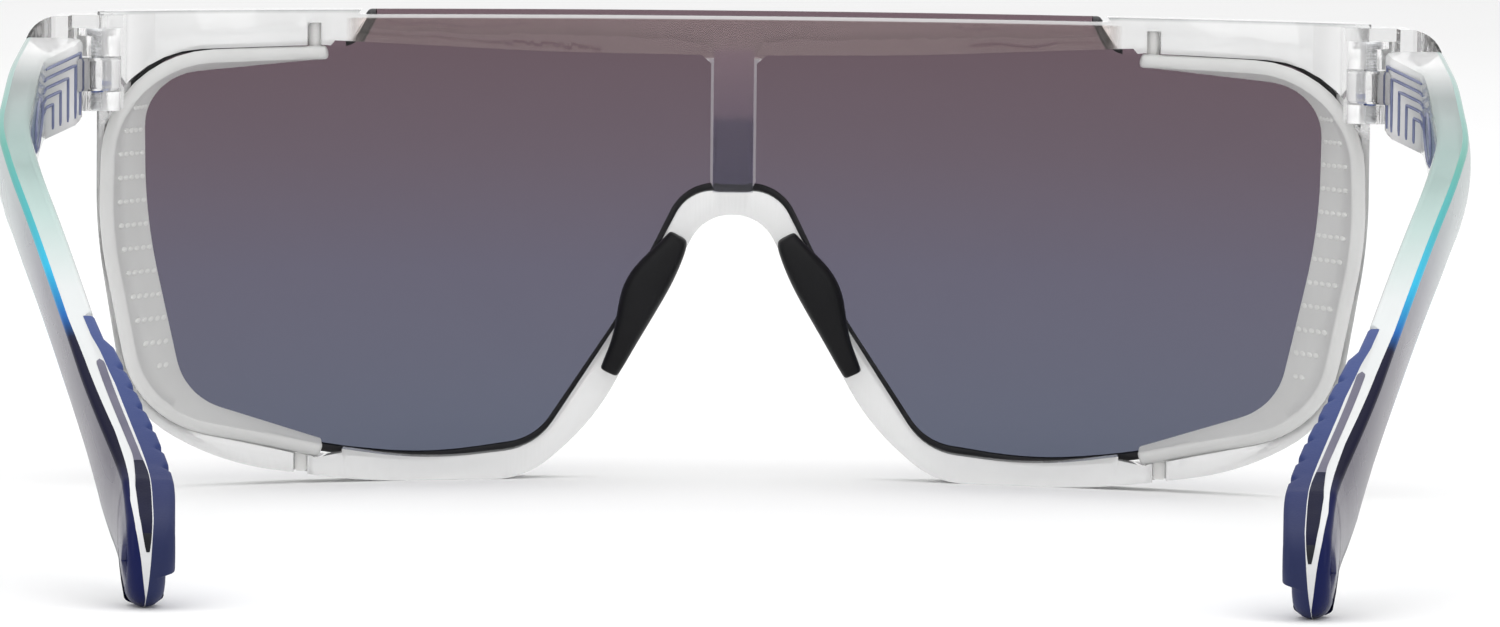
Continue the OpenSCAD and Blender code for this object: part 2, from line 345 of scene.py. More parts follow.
def clear_front():
    """Clear plastic: half milky, but glassy at the hinges, over the lens and down the strut."""
    n = Nodes("clear_front")
    split = n.add("ShaderNodeSeparateXYZ")
    n.link(n.place(), split.inputs[0])
    aside = n.add("ShaderNodeMath", operation="ABSOLUTE")
    n.link(split.outputs["X"], aside.inputs[0])
    wide, high = aside.outputs[0], split.outputs["Z"]

    def step(value, low, top):
        """0 to 1 between two places in millimetres, or 1 to 0 if the first is the larger."""
        span = n.add("ShaderNodeMapRange")
        span.inputs["From Min"].default_value = low * MM
        span.inputs["From Max"].default_value = top * MM
        n.link(value, span.inputs["Value"])
        return span.outputs[0]

    def combine(kind, a, b):
        node = n.add("ShaderNodeMath", operation=kind)
        n.link(a, node.inputs[0])
        n.link(b, node.inputs[1])
        return node.outputs[0]

    def overlay(colour, factor, over):
        """The colour, with a fixed or a linked colour over it."""
        mix = n.add("ShaderNodeMix", data_type="RGBA")
        below, above = [i for i in mix.inputs if i.type == "RGBA"]
        n.link(factor, mix.inputs["Factor"])
        n.link(colour, below)
        if isinstance(over, tuple):
            above.default_value = (*over, 1)
        else:
            n.link(over, above)
        return [o for o in mix.outputs if o.type == "RGBA"][0]

    hinge = combine("MULTIPLY", step(wide, 62.5, 65), step(high, 36.5, 38.5))
    below_edge = step(high, 48.5, 48.35)
    brow = combine("MULTIPLY", step(wide, 40.4, 39.4),
                   combine("MULTIPLY", step(high, 44.1, 44.5), below_edge))
    strut_end = combine("MULTIPLY", step(high, 30.2, 30.4), step(high, 45.4, 44.9))
    strut = combine("MULTIPLY", step(wide, STRUT_HALF - 0.25, STRUT_HALF - 0.35), strut_end)
    glass = combine("MAXIMUM", hinge, combine("MAXIMUM", brow, strut))
    weight = n.add("ShaderNodeMapRange")
    weight.inputs["To Min"].default_value = 0.5
    weight.inputs["To Max"].default_value = 0.98
    n.link(glass, weight.inputs["Value"])
    n.link(weight.outputs[0], n.shader.inputs["Transmission Weight"])
    top_edge = n.ramp(step(high, 48.9, 49.2), [(0.0, linear(246, 246, 246)), (1.0, linear(200, 202, 202))])
    over_strut = n.ramp(step(high, 30, 45),
                        [(0.0, linear(132, 130, 158)), (0.5, linear(150, 144, 170)),
                         (0.56, linear(196, 182, 198)), (1.0, linear(224, 206, 214))])
    # Painted highlight: a milky grey band along each side of the strut, where its bevelled edges catch the
    # light.
    painted_strut_highlight = combine("MULTIPLY", step(wide, STRUT_HALF + 0.4, STRUT_HALF + 0.2),
                          combine("MULTIPLY", step(high, 30.4, 31), step(high, 44.4, 44.1)))
    colour = overlay(top_edge, brow, linear(232, 220, 216))
    colour = overlay(colour, painted_strut_highlight, linear(176, 170, 176))
    colour = overlay(colour, strut, over_strut)
    n.link(colour, n.shader.inputs["Base Color"])
    n.set(IOR=1.46)
    n.vary_roughness(90, 0.02, 0.07)
    n.bump(n.noise(35, 2), 0.03, 0.0003)
    return n.mat


def clear_arm():
    """Clear plastic that takes the colour of the skin behind it, from mint to white."""
    n = Nodes("clear_arm")
    back = n.from_tip(HINGE_D)
    n.link(n.ramp(back, [(0.0, linear(242, 243, 244)), (0.36, linear(240, 243, 243)),
                         (0.5, linear(198, 223, 218)), (0.66, linear(156, 187, 181)),
                         (0.8, linear(176, 188, 186)), (0.93, linear(250, 250, 250))]),
           n.shader.inputs["Base Color"])
    weight = n.ramp(back, [(0.0, (0.3,) * 3), (0.3, (0.35,) * 3), (0.6, (0.45,) * 3),
                           (0.8, (0.5,) * 3), (0.92, (0.3,) * 3)])
    n.link(weight, n.shader.inputs["Transmission Weight"])
    n.set(IOR=1.46)
    n.vary_roughness(90, 0.03, 0.08)
    n.bump(n.noise(40, 2), 0.1, 0.0003)
    return n.mat


def clear_rib():
    n = Nodes("clear_rib")
    n.tint(linear(112, 120, 160), linear(136, 144, 178), 300)
    n.set(IOR=1.46, Transmission_Weight=0.35)
    n.vary_roughness(200, 0.05, 0.15)
    return n.mat


def lens_tint():
    n = Nodes("lens_tint")
    up = n.along("Z", 0.0, FRONT_H * MM)
    n.link(n.ramp(up, [(0.0, linear(94, 100, 116)), (0.45, linear(101, 98, 113)),
                       (0.7, linear(106, 95, 105)), (1.0, linear(112, 94, 101))]),
           n.shader.inputs["Base Color"])
    n.set(IOR=1.05, Transmission_Weight=1.0)
    n.vary_roughness(40, 0.01, 0.03)
    return n.mat


def lens_edge():
    n = Nodes("lens_edge")
    n.tint(linear(34, 34, 38), linear(22, 22, 26), 200)
    n.vary_roughness(300, 0.3, 0.45)
    return n.mat


def frosted(name, colour):
    n = Nodes(name)
    n.tint(linear(*colour), linear(*(c - 7 for c in colour)), 120)
    n.set(Subsurface_Weight=0.2, Subsurface_Scale=0.001)
    n.shader.inputs["Subsurface Radius"].default_value = (1, 1, 1)
    n.vary_roughness(400, 0.38, 0.52)
    n.bump(n.noise(3500, 2), 0.15, 0.00005)
    return n.mat


def rubber(name, colour, darker):
    n = Nodes(name)
    n.tint(linear(*colour), linear(*darker), 180)
    n.vary_roughness(600, 0.42, 0.6)
    n.bump(n.noise(5200, 3), 0.35, 0.00006)
    n.set(Specular_IOR_Level=0.15)
    return n.mat


def grip_rubber():
    """Navy rubber that darkens towards the tip."""
    n = Nodes("grip_rubber")
    back = n.from_tip(GRIP_D)
    n.link(n.ramp(back, [(0.0, linear(20, 30, 72)), (0.2, linear(22, 36, 90)), (0.5, linear(38, 56, 112)),
                         (1.0, linear(58, 76, 132))]), n.shader.inputs["Base Color"])
    n.vary_roughness(600, 0.45, 0.6)
    n.bump(n.noise(5200, 3), 0.35, 0.00006)
    n.set(Specular_IOR_Level=0.3)
    return n.mat


def skin_gradient():
    n = Nodes("skin_gradient")
    back = n.from_tip(HINGE_D)
    wander = n.add("ShaderNodeMath", operation="MULTIPLY_ADD")
    n.link(n.noise(45, 2), wander.inputs[0])
    wander.inputs[1].default_value = 0.05
    n.link(back, wander.inputs[2])
    n.link(n.ramp(wander.outputs[0],
                  [(0.0, linear(26, 32, 74)), (0.08, linear(24, 28, 70)), (0.12, linear(8, 7, 36)),
                   (0.3, linear(9, 9, 42)),
                   (0.335, linear(20, 96, 170)), (0.42, linear(40, 176, 214)),
                   (0.52, linear(70, 170, 176)), (0.66, linear(98, 166, 154)),
                   (0.8, linear(150, 182, 176)), (0.95, linear(176, 190, 187))]),
           n.shader.inputs["Base Color"])
    n.vary_roughness(80, 0.2, 0.3)
    n.set(Specular_IOR_Level=0.05)
    n.bump(n.noise(900, 2), 0.05, 0.00003)
    return n.mat


def skin_face_painted_sheen():
    """The outer face of an arm: grey and glossy, its grey a painted reflection of the white surroundings
    over the navy-to-mint paint; darker and more violet at the tip.
    """
    n = Nodes("skin_face_painted_sheen")
    back = n.from_tip(HINGE_D)
    n.link(n.ramp(back, [(0.0, linear(30, 36, 76)), (0.06, linear(78, 74, 88)), (0.3, linear(96, 93, 104)),
                         (0.42, linear(122, 123, 132)), (0.58, linear(164, 171, 172)),
                         (0.8, linear(180, 188, 187))]),
           n.shader.inputs["Base Color"])
    n.vary_roughness(80, 0.22, 0.32)
    n.set(Specular_IOR_Level=0.25)
    n.bump(n.noise(900, 2), 0.05, 0.00003)
    return n.mat


def screw_steel():
    n = Nodes("screw_steel")
    up = n.along("Z", SCREW_Z[0] * MM, SCREW_Z[1] * MM)
    steel, blue = (0.6, 0.61, 0.63), (0.01, 0.08, 0.4)
    bands = n.ramp(up, [(0.0, steel), (0.2, blue), (0.26, steel), (0.3, blue), (0.36, steel)])
    bands.node.color_ramp.interpolation = "CONSTANT"
    n.link(bands, n.shader.inputs["Base Color"])
    n.set(Metallic=0.9)
    n.vary_roughness(900, 0.2, 0.35)
    n.bump(n.noise(2500, 2), 0.1, 0.00003)
    return n.mat


CLEAR = clear_front()
CLEAR_ARM = clear_arm()
RIB = clear_rib()
LENS = lens_tint()
LENS_EDGE = lens_edge()
FROST = frosted("frosted_shield", (208, 208, 207))
FROST_DOT = frosted("frosted_dot", (226, 226, 224))
# The peg and the tab: a lighter copy of the frosted plastic, with light painted in against the shade of the
# groove that the peg sits in.
FROST_PEG_PAINTED_LIGHT = frosted("frosted_peg_painted_light", (250, 249, 247))
PAD = rubber("pad_rubber", (22, 22, 24), (17, 17, 19))
GRIP = grip_rubber()
SKIN = skin_gradient()
SKIN_FACE_PAINTED_SHEEN = skin_face_painted_sheen()
SCREW = screw_steel()
# The grey, navy and black of the painted reflection seen inside an arm's tip.
REFLECTION_GREY = rubber("painted_reflection_grey", (112, 110, 126), (98, 97, 114))
REFLECTION_NAVY = rubber("painted_reflection_navy", (10, 14, 50), (6, 8, 38))
REFLECTION_BLACK = rubber("painted_reflection_black", (18, 18, 24), (40, 42, 50))


# ---------------------------------------------------------------- front

def front_frame():
    """The CAD frame, with its edges rounded as a moulding's are."""
    node = frame["nodes"]["front_frame"]
    node.data.materials.clear()
    node.data.materials.append(CLEAR)
    weld = node.modifiers.new("weld", "WELD")
    weld.merge_threshold = 0.005 * MM
    bevel = node.modifiers.new("bevel", "BEVEL")
    bevel.width = 0.35 * MM
    bevel.segments = 3
    bevel.limit_method = "ANGLE"
    bevel.angle_limit = math.radians(35)
    bevel.use_clamp_overlap = True
    bevel.harden_normals = True


# Half of the lens's outline as (x, z, corner radius), from the top round to the nose.
LENS_HALF = [(0, FRONT_H, 0), (38.2, FRONT_H, 0.6), (40.3, 46.3, 0.6), (63.1, 45.5, 8), (63.5, 28, 60),
             (60.2, 7.9, 7), (43.5, 2.9, 60), (32, 1.6, 40), (20.2, 3.2, 7), (11.5, 16.2, 25),
             (4.6, 30.2, 4.4), (0, 30.2, 0)]
# Where the edge has the tint of the faces: from and to in x, from and to in z.
TINTED_EDGES = [(0, 37, FRONT_H - 1.2, FRONT_H + 1), (60, 70, 0, 38), (40.6, 47, 44, FRONT_H + 1)]


def lens():
    half = rounded(LENS_HALF, 12)
    outline = half + [(-x, z) for x, z in reversed(half[1:-1])]
    bm = moulding(outline, LENS_BACK_R, LENS_R, 0.85)
    for f in bm.faces:
        at = f.calc_center_median()
        if any(x0 <= abs(at.x) <= x1 and z0 <= at.z <= z1 for x0, x1, z0, z1 in TINTED_EDGES):
            f.material_index = 0
    obj = finish_mesh(bm, "shield_lens", "front", [LENS, LENS_EDGE])
    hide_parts("lens")


# A side shield from its top tip to its lower tip, as (x, z, corner radius): front edge, rear edge.
SHIELD_IN = [(42.6, 44.1, 0), (60.6, 42.6, 5.5), (60.4, 28, 60), (56.5, 9.3, 7), (43.1, 4.5, 0)]
SHIELD_OUT = [(42.6, 45.6, 0), (64.2, 45, 11), (64.6, 27, 40), (61, 7.2, 11), (43.1, 2.7, 0)]
# How far the wall reaches behind the lens, at x.
SHIELD_REACH = [(42, 2.8), (50, 3.4), (58, 5.0), (64, 6.1)]
WALL = 0.5            # half thickness of a side shield's wall
BEAD = 0.75           # radius of the bead along its rear edge
PEG_X = 43.6          # peg into the brow, turned from (radius, z)
PEG = [(0.55, 44.5), (0.65, 44.9), (0.65, 47.6), (0.56, 47.85), (0.3, 47.95)]
TAB = (44.1, 45.3, 1.25, 3.8)  # tab in the lower rim: from and to in x, from and to in z
DOT = (0.62, 0.28)    # half length and half width of a dot
DOT_ROWS = 12
DOT_TOP = 39.6        # height of the top row
DOT_PITCH = 2.45      # from a row down to the next


def shield_frames(side, count=120):
    """Stations from the top tip to the lower tip: the front point, the way along the wall,
    the way outward, the length of the wall and the way to the next station.
    """
    inner = resample(rounded(SHIELD_IN, 10), count)
    outer = resample(rounded(SHIELD_OUT, 10), count)
    fronts, rears = [], []
    for i in range(count):
        out = (outer[i] - inner[i]).normalized()
        run = outer[min(i + 1, count - 1)] - outer[max(i - 1, 0)]
        normal = Vector((run.y, -run.x)).normalized()
        if normal.dot(out) < 0:
            normal.negate()
        a = inner[i] + out * WALL
        b = outer[i] - normal * BEAD
        fronts.append(Vector((side * a.x, lens_d(a.x, LENS_BACK_R) + 0.1, a.y)))
        rears.append(Vector((side * b.x, lens_d(b.x, LENS_BACK_R) + lookup(b.x, SHIELD_REACH), b.y)))
    stations = []
    for i in range(count):
        ahead = rears[min(i + 1, count - 1)] - rears[max(i - 1, 0)]
        along = rears[i] - fronts[i]
        length = along.length
        along.normalize()
        outward = ahead.cross(along).normalized()
        if outward.x * side + (outward.z if i < count / 2 else -outward.z) * 0.5 < 0:
            outward.negate()
        stations.append((fronts[i], along, outward, length, ahead.normalized()))
    return stations


def side_shield(name, side):
    stations = shield_frames(side)

    def ring(front, along, outward, length, scale=1.0, shift=Vector()):
        profile = [(-0.1, -WALL), (length * 0.3, -WALL * 1.1), (length * 0.6, -WALL)]
        for k in range(9):
            a = math.radians(-140 + 35 * k)
            profile.append((length + BEAD * math.cos(a), BEAD * math.sin(a)))
        profile += [(length * 0.6, WALL), (length * 0.3, WALL * 1.1), (-0.1, WALL)]
        mid = front + along * length * 0.6
        points = []
        for u, v in profile:
            p = front + along * u + outward * v
            points.append(tuple(mid + (p - mid) * scale + shift))
        return points

    sections = [ring(*s[:4]) for s in stations]
    for end, sign in ((0, -1), (-1, 1)):
        s = stations[end]
        for k in range(1, 5):
            a = math.radians(21 * k)
            extra = ring(*s[:4], scale=math.cos(a), shift=s[4] * sign * 0.4 * math.sin(a))
            if end == 0:
                sections.insert(0, extra)
            else:
                sections.append(extra)
    bm = bmesh.new()
    add_loft(bm, sections)
    peg_d = lens_d(PEG_X, LENS_BACK_R - 1.4)
    # Material 1, for the peg and the tab, is the frosted plastic lightened with painted light.
    add_lathe(bm, (side * PEG_X, peg_d), PEG, material=1)
    near, far = sorted((side * TAB[0], side * TAB[1]))
    tab = [[(x, d, z) for x, z in box_ring(near, far, *TAB[2:], 0.25)]
           for d in (peg_d - 0.4, peg_d + 1.4)]
    add_loft(bm, tab, material=1)
    obj = finish_mesh(bm, f"side_shield_skin_{name}", "front", [FROST, FROST_PEG_PAINTED_LIGHT])
    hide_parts(f"side_shield_{name}")
    shield_dots(name, side, stations)


def shield_dots(name, side, stations):
    """Rows of small raised dots across the inner face of the wall."""
    bm = bmesh.new()
    for r in range(DOT_ROWS):
        level = DOT_TOP - DOT_PITCH * r
        count = 5 if 1 < r < DOT_ROWS - 2 else 4 if r < DOT_ROWS - 1 else 2
        for k in range(count):
            share = 0.09 + 0.165 * k + (5 - count) * 0.08
            across = [front + along * length * share for front, along, _, length, _ in stations]
            i = next(i for i in range(len(across) // 5, len(across)) if across[i].z < level)
            part = (across[i - 1].z - level) / (across[i - 1].z - across[i].z)
            _, along, outward, _, _ = stations[i]
            centre = across[i - 1].lerp(across[i], part) - outward * WALL * 1.02
            row_way = along.cross(outward).normalized()
            rings = []
            for size, lift in ((1.0, -0.05), (0.9, 0.06), (0.5, 0.1)):
                rings.append([tuple(centre - outward * lift
                                    + along * size * DOT[0] * math.cos(2 * math.pi * j / 10)
                                    + row_way * size * DOT[1] * math.sin(2 * math.pi * j / 10))
                              for j in range(10)])
            add_loft(bm, rings)
    finish_mesh(bm, f"shield_dots_{name}", "front", [FROST_DOT])


# Along a nose pad: inner edge (x, z), outer edge (x, z) and depth.
PAD_STATIONS = [
    ((4.8, 25.3), (6.5, 26.2), 3.2), ((4.75, 24.9), (6.75, 26.0), 3.7),
    ((4.8, 24.3), (7.3, 25.4), 4.2), ((5.4, 22.6), (8.8, 24.0), 4.9), ((6.4, 20.4), (10.7, 22.1), 5.4),
    ((7.6, 18.3), (11.7, 19.9), 5.5), ((8.9, 16.1), (12.0, 17.8), 5.2), ((10.2, 13.9), (12.4, 15.2), 4.6),
    ((11.3, 11.9), (13.3, 12.9), 3.9), ((11.8, 11.2), (13.65, 12.0), 3.5), ((12.0, 10.9), (13.7, 11.7), 3.2)]


def nose_pad(name, side):
    """A rubber pad: slanted flat ends, and a side that swells outward and back between them."""
    sections = []
    for (xi, zi), (xo, zo), depth in PAD_STATIONS:
        base = lens_d((xi + xo) / 2, LENS_R - 4.8) + 0.02
        ring = []
        for k in range(20):
            a = 2 * math.pi * k / 20
            t = 0.5 + 0.5 * math.copysign(abs(math.cos(a)) ** 0.7, math.cos(a))
            w = depth / 2 * math.copysign(abs(math.sin(a)) ** 0.62, math.sin(a))
            ring.append((side * (xi + (xo - xi) * t), base + depth / 2 + w, zi + (zo - zi) * t))
        sections.append(ring)
    bm = bmesh.new()
    add_loft(bm, sections)
    obj = finish_mesh(bm, f"nose_pad_soft_{name}", "front", [PAD], level=2)
    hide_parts(f"nose_pad_{name}")


THREAD_LOW = 40.1     # height of the lowest turn
THREAD_TURNS = 23
THREAD_PITCH = 0.3


def hinge_screw(name, side):
    body = [(0.5, 39.7), (0.66, 39.9)]
    for i in range(THREAD_TURNS):
        z = THREAD_LOW + THREAD_PITCH * i
        body += [(0.7, z), (0.62, z + THREAD_PITCH / 2)]
    head = [(0.66, 47.0), (1.2, 47.02), (1.25, 47.15), (1.25, 47.5), (1.1, 47.66),
            (0.62, 47.7), (0.5, 47.3), (0.2, 47.2)]
    bm = bmesh.new()
    add_lathe(bm, (side * HINGE_X, HINGE_D), body + head)
    obj = finish_mesh(bm, f"hinge_screw_{name}_turned", "front", [SCREW])
    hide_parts(f"hinge_screw_{name}")


# ---------------------------------------------------------------- temples

# Along an arm, by d: x of its outer face, z of its top and of its underside, and what the
# hinge end is thicker by.
ARM_OUTER = [(40, 71.4), (60, 71.7), (76, 71.2), (88, 68.8), (100, 65.9), (125, 60.1),
             (141, 56), (150, 53.6), (170, 51.2)]
ARM_TOP = [(40, 47.2), (58, 44.4), (85, 37), (108, 28.7), (125, 22.3), (150, 11), (170, 6.5)]
ARM_LOW = [(40, 39), (58, 36.2), (85, 28.8), (108, 20.4), (125, 13.8), (146, 3), (170, -5)]
HINGE_GAIN = [(41.5, 2.0), (42.8, 2.9), (46, 2.6), (54, 0.2), (170, 0)]
ARM_T = 3.0           # thickness of an arm behind its hinge end
BUTT_D = HINGE_D + 1.5  # front end of an arm
TIP_R = 4.3           # radius of the tip in side view
TIP_C = TIP_D - TIP_R
BEND_D = 151.0        # the arm runs straight to here, and its tip begins
TIP_STEPS = 24        # points from the bend to the rearmost point
Q_REAR = 161.1        # the rearmost point, measured along the top of the arm
Q_UNDER = 170.6       # back under the bend, measured on round the tip

# Depth below the outer face, by q, which runs along the top of the arm and on round its tip:
# where the skin ends, where the clear body ends over the grip, the grip's face under the tip,
# and the grip's face elsewhere, which goes by d on the underside.
SKIN_DEPTH = [(41, 0.6), (122, 0.6), (130, 0.85), (142, 1.0), (149, 0.7), (154, 0.5), (158, 0.8),
              (161, 1.25), (165, 1.72), (170, 1.6), (178, 0.6)]
ROOT_DEPTH = [(120.7, 3.0), (121.1, 2.0), (125.3, 2.15), (128.2, 2.5), (134, 2.8), (139, 2.75),
              (148, 2.6), (157, 2.4), (161, 2.1), (165, 1.78), (170, 1.7), (178, 2.6), (200, 2.6)]
BASE_DEPTH = [(121, 3.1), (125.3, 3.3), (126.5, 3.5), (165, 3.5), (200, 3.5)]
FACE_DEPTH = [(121, 3.1), (125.6, 3.3), (127.2, 3.95), (130, 4.2), (134, 4.5), (141, 4.75),
              (152, 4.6), (157, 4.3), (163, 4.3)]
NOTCHES = [130.9 + 3.45 * i for i in range(6)]
NOTCH = (0.7, 0.62)   # half length and depth
# Radius of an arm's long edges.
EDGE_R = [(41, 0.4), (150, 0.45), (158, 0.9), (163, 1.75), (176, 1.75), (184, 0.5)]


def outer_x(d):
    return smooth(d, ARM_OUTER)


def full_depth(d):
    return ARM_T + lookup(d, HINGE_GAIN)


def inner_x(d):
    return outer_x(d) - full_depth(d)


def low_z(d):
    return max(0.0, smooth(d, ARM_LOW))


def spaced(start, end, step):
    count = max(2, int(round((end - start) / step)))
    return [start + (end - start) * i / count for i in range(count + 1)]


def tip_path(upper):
    """Side view of the tip, from the bend to its rearmost point, as (d, z)."""
    sign = 1 if upper else -1
    first = (BEND_D, smooth(BEND_D, ARM_TOP) if upper else 0)
    arc = [(TIP_C + TIP_R * math.sin(math.radians(a)), TIP_R + sign * TIP_R * math.cos(math.radians(a)))
           for a in range(30 if upper else 0, 91, 5)]
    return resample([first] + arc, TIP_STEPS)


def arm_rail(start, end, step, upper):
    """(d, z, q, inward normal) along one edge of the arm's side view."""
    points = [(d, smooth(d, ARM_TOP) if upper else low_z(d)) for d in spaced(start, min(end, BEND_D), step)]
    marks = [d if upper else Q_UNDER + BEND_D - d for d, _ in points]
    if end > BEND_D:
        tip = tip_path(upper)
        far = BEND_D if upper else Q_UNDER
        for i, p in enumerate(tip[1:], 1):
            points.append((p.x, p.y))
            marks.append(far + (Q_REAR - far) * i / (TIP_STEPS - 1))
    rail = []
    for i, (d, z) in enumerate(points):
        a, b = points[max(i - 1, 0)], points[min(i + 1, len(points) - 1)]
        way = Vector((b[0] - a[0], b[1] - a[1])).normalized()
        normal = Vector((way.y, -way.x)) if upper else Vector((-way.y, way.x))
        rail.append((d, z, marks[i], normal))
    return rail


def lean(d):
    """How far the arm's section leans outward at the top, per millimetre of height."""
    return 0.12 * ease((d - 60) / 30) * ease((150 - d) / 20)


def rounding(q):
    """Radius of the arm's long edges."""
    return lookup(q, EDGE_R)


def skin_depth(q):
    return lookup(q, SKIN_DEPTH)


def root_depth(q):
    """Where the clear body ends and the grip begins, which is never within the skin."""
    return max(lookup(q, ROOT_DEPTH), skin_depth(q) + 0.02)


ACROSS = 8            # steps across an arm's top or underside
DOWN = 7              # steps down its inner or outer side


def side_points(a, b, bulge):
    """Points down one side of an arm's section: bulging, or else stepping from a's depth to b's."""
    out = []
    for k in range(1, DOWN):
        f = k / DOWN
        share = f if bulge else ease((f - 0.38) / 0.24)
        out.append((a[0] + (b[0] - a[0]) * share - bulge * 4 * f * (1 - f),
                    a[1] + (b[1] - a[1]) * f, a[2] + (b[2] - a[2]) * f))
    return out


def arm_layer(side, near, far, start, step, bulge=0.0):
    """Rings of one layer of the arm, from start to the tip, between the depths near(q, d)
    and far(q, d) below its outer face, which may bulge.
    """
    rings = []
    for top, low in zip(arm_rail(start, TIP_D, step, True), arm_rail(start, TIP_D, step, False)):
        edges = []
        for d, z, q, normal in (top, low):
            a, b = near(q, d), far(q, d)
            r = rounding(q)
            whole = full_depth(d) if d < GRIP_D else grip_face(q, d)
            row = []
            for j in range(ACROSS + 1):
                e = a + (b - a) * (0.5 - 0.5 * math.cos(math.pi * j / ACROSS))
                gap = max(0.0, min(e, whole - e, r))
                inset = r - math.sqrt(max(0.0, r * r - (r - gap) ** 2))
                row.append((e, d + normal.x * inset, z + normal.y * inset))
            edges.append(row)
        upper, under = edges
        ring = (upper + side_points(upper[-1], under[-1], 0.0)
                + under[::-1] + side_points(under[0], upper[0], bulge))
        mid = (top[1] + low[1]) / 2
        rings.append([(side * (outer_x(d) - e + (z - mid) * lean(d)), d, z) for e, d, z in ring])
    return rings


def softened(ring, depth):
    """A copy of a ring, drawn in towards its middle, for a rounded end."""
    mid = [sum(p[k] for p in ring) / len(ring) for k in range(3)]
    out = []
    for p in ring:
        away = Vector(p) - Vector(mid)
        out.append(tuple(Vector(mid) + away * max(0.2, 1 - depth / max(away.length, 0.01))))
    return out


def with_butt(rings):
    """The rings of a layer, with a softened end at the butt."""
    return [[(x, BUTT_D, z) for x, _, z in softened(rings[0], 0.3)]] + rings


def temple_arm(name, side):
    """The clear body of an arm."""
    rings = arm_layer(side, lambda q, d: skin_depth(q),
                      lambda q, d: full_depth(d) if d < GRIP_D - 0.3 else root_depth(q), BUTT_D + 0.3, 0.7)
    bm = bmesh.new()
    add_loft(bm, with_butt(rings))
    obj = finish_mesh(bm, f"temple_arm_{name}", f"{name}_temple", [CLEAR_ARM])
    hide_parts(f"temple_{name}")


def temple_skin(name, side):
    """The coloured outer layer, which thickens and closes round the tip."""
    rings = arm_layer(side, lambda q, d: 0.0, lambda q, d: skin_depth(q), BUTT_D + 0.3, 0.7, bulge=0.45)
    bm = bmesh.new()
    add_loft(bm, with_butt(rings))
    ring = len(rings[0])
    bm.faces.ensure_lookup_table()
    # Faces down the outer side get the paint whose grey is a painted reflection of the white surroundings.
    for i, f in enumerate(bm.faces):
        if i < ring * len(rings) and i % ring >= 2 * ACROSS + DOWN:
            f.material_index = 1
    obj = finish_mesh(bm, f"temple_outer_{name}", f"{name}_temple", [SKIN, SKIN_FACE_PAINTED_SHEEN])
    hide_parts(f"temple_skin_{name}")


def grip_face(q, d):
    """Depth of the grip's face below the arm's outer face, with its notches."""
    if q > Q_REAR + 1.4:
        base, raised = lookup(q, BASE_DEPTH), lookup(d, FACE_DEPTH)
        face = base + (raised - base) * ease((152 - d) / 6)
    else:
        face = lookup(q, FACE_DEPTH)
    for at in NOTCHES:
        face -= NOTCH[1] * max(0.0, 1 - abs(d - at) / NOTCH[0])
    return face


def temple_grip(name, side):
    """The rubber grip on the inner side: a thin tongue, a step, then the notched pad."""
    rings = arm_layer(side, lambda q, d: root_depth(q), grip_face, GRIP_D + 0.4, 0.25)
    bm = bmesh.new()
    add_loft(bm, [softened(rings[0], 0.35)] + rings)
    obj = finish_mesh(bm, f"temple_grip_{name}_rubber", f"{name}_temple", [GRIP])
    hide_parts(f"temple_grip_{name}")


# A streak of painted reflection of the navy paint and the grip, inside an arm's tip: its ends and where it
# turns navy, then black, along q.
REFLECTION_START, REFLECTION_END = 129.6, 160.6
REFLECTION_NAVY_Q, REFLECTION_BLACK_Q = 147, 158.2
REFLECTION_SECTION = ((-1, 0.15), (-0.9, -0.02), (-0.4, -0.05), (0.4, -0.05), (0.9, -0.02), (1, 0.15), (0, 0.3))
REFLECTION_NEAR = [(129.6, 1.75), (146, 1.65), (149, 1.3), (152, 1.0), (156, 1.1), (161, 1.6)]
REFLECTION_FAR = [(129.6, 2.6), (146, 2.45), (149, 2.55), (152, 2.5), (157, 2.35), (161, 2.1)]


def temple_painted_reflection(name, side):
    """A streak of painted reflection of the navy paint and the grip, seen through the top of the arm from
    its round start to the tip.
    """
    rail = [r for r in arm_rail(REFLECTION_START, TIP_D, 0.4, True) if r[2] <= REFLECTION_END]
    bm = bmesh.new()
    rings, kinds = [], []
    for d, z, q, normal in rail:
        a, b = lookup(q, REFLECTION_NEAR), lookup(q, REFLECTION_FAR)
        blunt = max(0, 1 - (q - REFLECTION_START) / 0.8, 1 - (REFLECTION_END - q) / 2.5)
        half = (b - a) / 2 * math.sqrt(max(0.01, 1 - blunt ** 2))
        mid = (a + b) / 2
        tilt = (z - low_z(d)) / 2 * lean(d)
        rings.append([(side * (outer_x(d) - mid - half * u + tilt), d + normal.x * h, z + normal.y * h)
                      for u, h in REFLECTION_SECTION])
        kinds.append(0 if q < REFLECTION_NAVY_Q else 1 if q < REFLECTION_BLACK_Q else 2)
    add_loft(bm, rings)
    faces = list(bm.faces)
    sides = len(REFLECTION_SECTION)
    for i, kind in enumerate(kinds[:-1]):
        for f in faces[i * sides:(i + 1) * sides]:
            f.material_index = kind
    finish_mesh(bm, f"temple_painted_reflection_{name}", f"{name}_temple", [REFLECTION_GREY, REFLECTION_NAVY, REFLECTION_BLACK])


BARREL_R = 2.3        # hinge barrel round the screw


